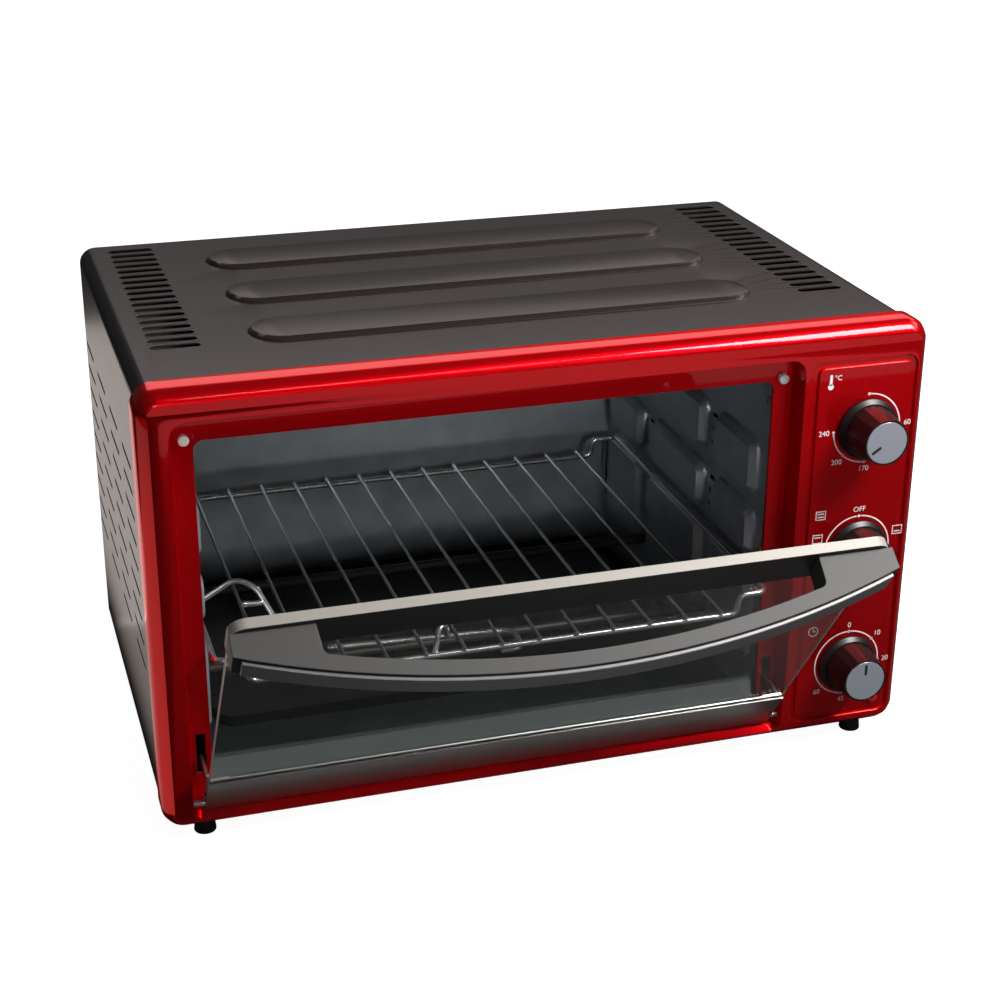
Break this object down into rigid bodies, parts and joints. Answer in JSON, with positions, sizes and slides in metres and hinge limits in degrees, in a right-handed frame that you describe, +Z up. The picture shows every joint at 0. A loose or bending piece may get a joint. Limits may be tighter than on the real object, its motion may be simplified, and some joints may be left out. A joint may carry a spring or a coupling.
{
  "type": "toaster oven",
  "caption": "Countertop toaster oven with a drop-down glass door on a bowed handle, a sliding wire rack, turning control knobs and vented sheet-metal body.",
  "frame": {"origin": "on the counter, under the middle of the oven with its door part open", "axes": "+X to the viewer's right, -Y out of the front, +Z up"},
  "size_m": [0.455, 0.452, 0.27],
  "materials": {
    "red_enamel": "gloss",
    "dark_coat": "matt",
    "galvanised": "satin",
    "steel": "brushed",
    "rod_steel": "satin",
    "chrome_wire": "polished",
    "brass": "satin",
    "rubber": "matt",
    "silicone": "matt",
    "clear_glass": "clear",
    "grey_plastic": "matt",
    "strip_plastic": "satin",
    "knob_plastic": "satin",
    "cap_plastic": "satin",
    "red_lens": "gloss",
    "black_plastic": "matt",
    "white_ceramic": "matt"
  },
  "bodies": {
    "oven": {"front_bezel": "red_enamel", "outer_wrapper": "dark_coat", "rear_panel": "dark_coat", "base_pan": "galvanised", "cavity_left_wall": "galvanised", "cavity_right_wall": "galvanised", "cavity_top": "galvanised", "cavity_back_wall": "galvanised", "cavity_floor": "galvanised", "crumb_tray": "galvanised", "lower_heater_front": "rod_steel", "lower_heater_rear": "rod_steel", "upper_heater_front": "rod_steel", "upper_heater_rear": "rod_steel", "heater_insulators": "white_ceramic", "cavity_screws": "brass", "rear_screws": "steel", "foot_front_left": "rubber", "foot_front_right": "rubber", "foot_rear_left": "rubber", "foot_rear_right": "rubber", "foot_screws": "steel", "bumper_left": "silicone", "bumper_right": "silicone", "thermostat": "black_plastic", "function_switch": "black_plastic", "timer": "black_plastic", "indicator_lens": "red_lens", "indicator_lamp": "black_plastic", "cord_gland": "black_plastic", "terminal_block": "black_plastic"},
    "door": {"door_glass": "clear_glass", "door_top_trim": "steel", "door_bottom_trim": "steel", "handle_bar": "grey_plastic", "handle_strip": "strip_plastic", "handle_screws": "steel", "hinge_pin_left": "steel", "hinge_pin_right": "steel", "stay_arm_left": "steel", "stay_arm_right": "steel"},
    "rack": {"rack_frame": "chrome_wire", "rack_wires": "chrome_wire", "rack_loops": "chrome_wire"},
    "temperature_dial": {"temperature_knob": "knob_plastic", "temperature_cap": "cap_plastic", "temperature_shaft": "steel"},
    "function_dial": {"function_knob": "knob_plastic", "function_cap": "cap_plastic", "function_shaft": "steel"},
    "timer_dial": {"timer_knob": "knob_plastic", "timer_cap": "cap_plastic", "timer_shaft": "steel"}
  },
  "joints": [
    {"name": "door_hinge", "type": "hinge", "parent": "oven", "child": "door", "pos_m": [-0.031, -0.06, 0.0225], "axis": [1, 0, 0], "range_deg": [-36.5, 43.5]},
    {"name": "rack_slide", "type": "slide", "parent": "oven", "child": "rack", "axis": [0, -1, 0], "range_m": [-0.02303, 0.02743]},
    {"name": "temperature_turn", "type": "hinge", "parent": "oven", "child": "temperature_dial", "pos_m": [0.1895, -0.066, 0.2081], "axis": [0, 1, 0], "range_deg": [-236, 34]},
    {"name": "function_turn", "type": "hinge", "parent": "oven", "child": "function_dial", "pos_m": [0.1895, -0.066, 0.1316], "axis": [0, 1, 0], "range_deg": [0, 300]},
    {"name": "timer_turn", "type": "hinge", "parent": "oven", "child": "timer_dial", "pos_m": [0.1895, -0.066, 0.0551], "axis": [0, 1, 0], "range_deg": [-45, 270]}
  ],
  "couplings": [
    {"joint": "rack_slide", "follows": "door_hinge", "m_per_rad": 0.036}
  ]
}
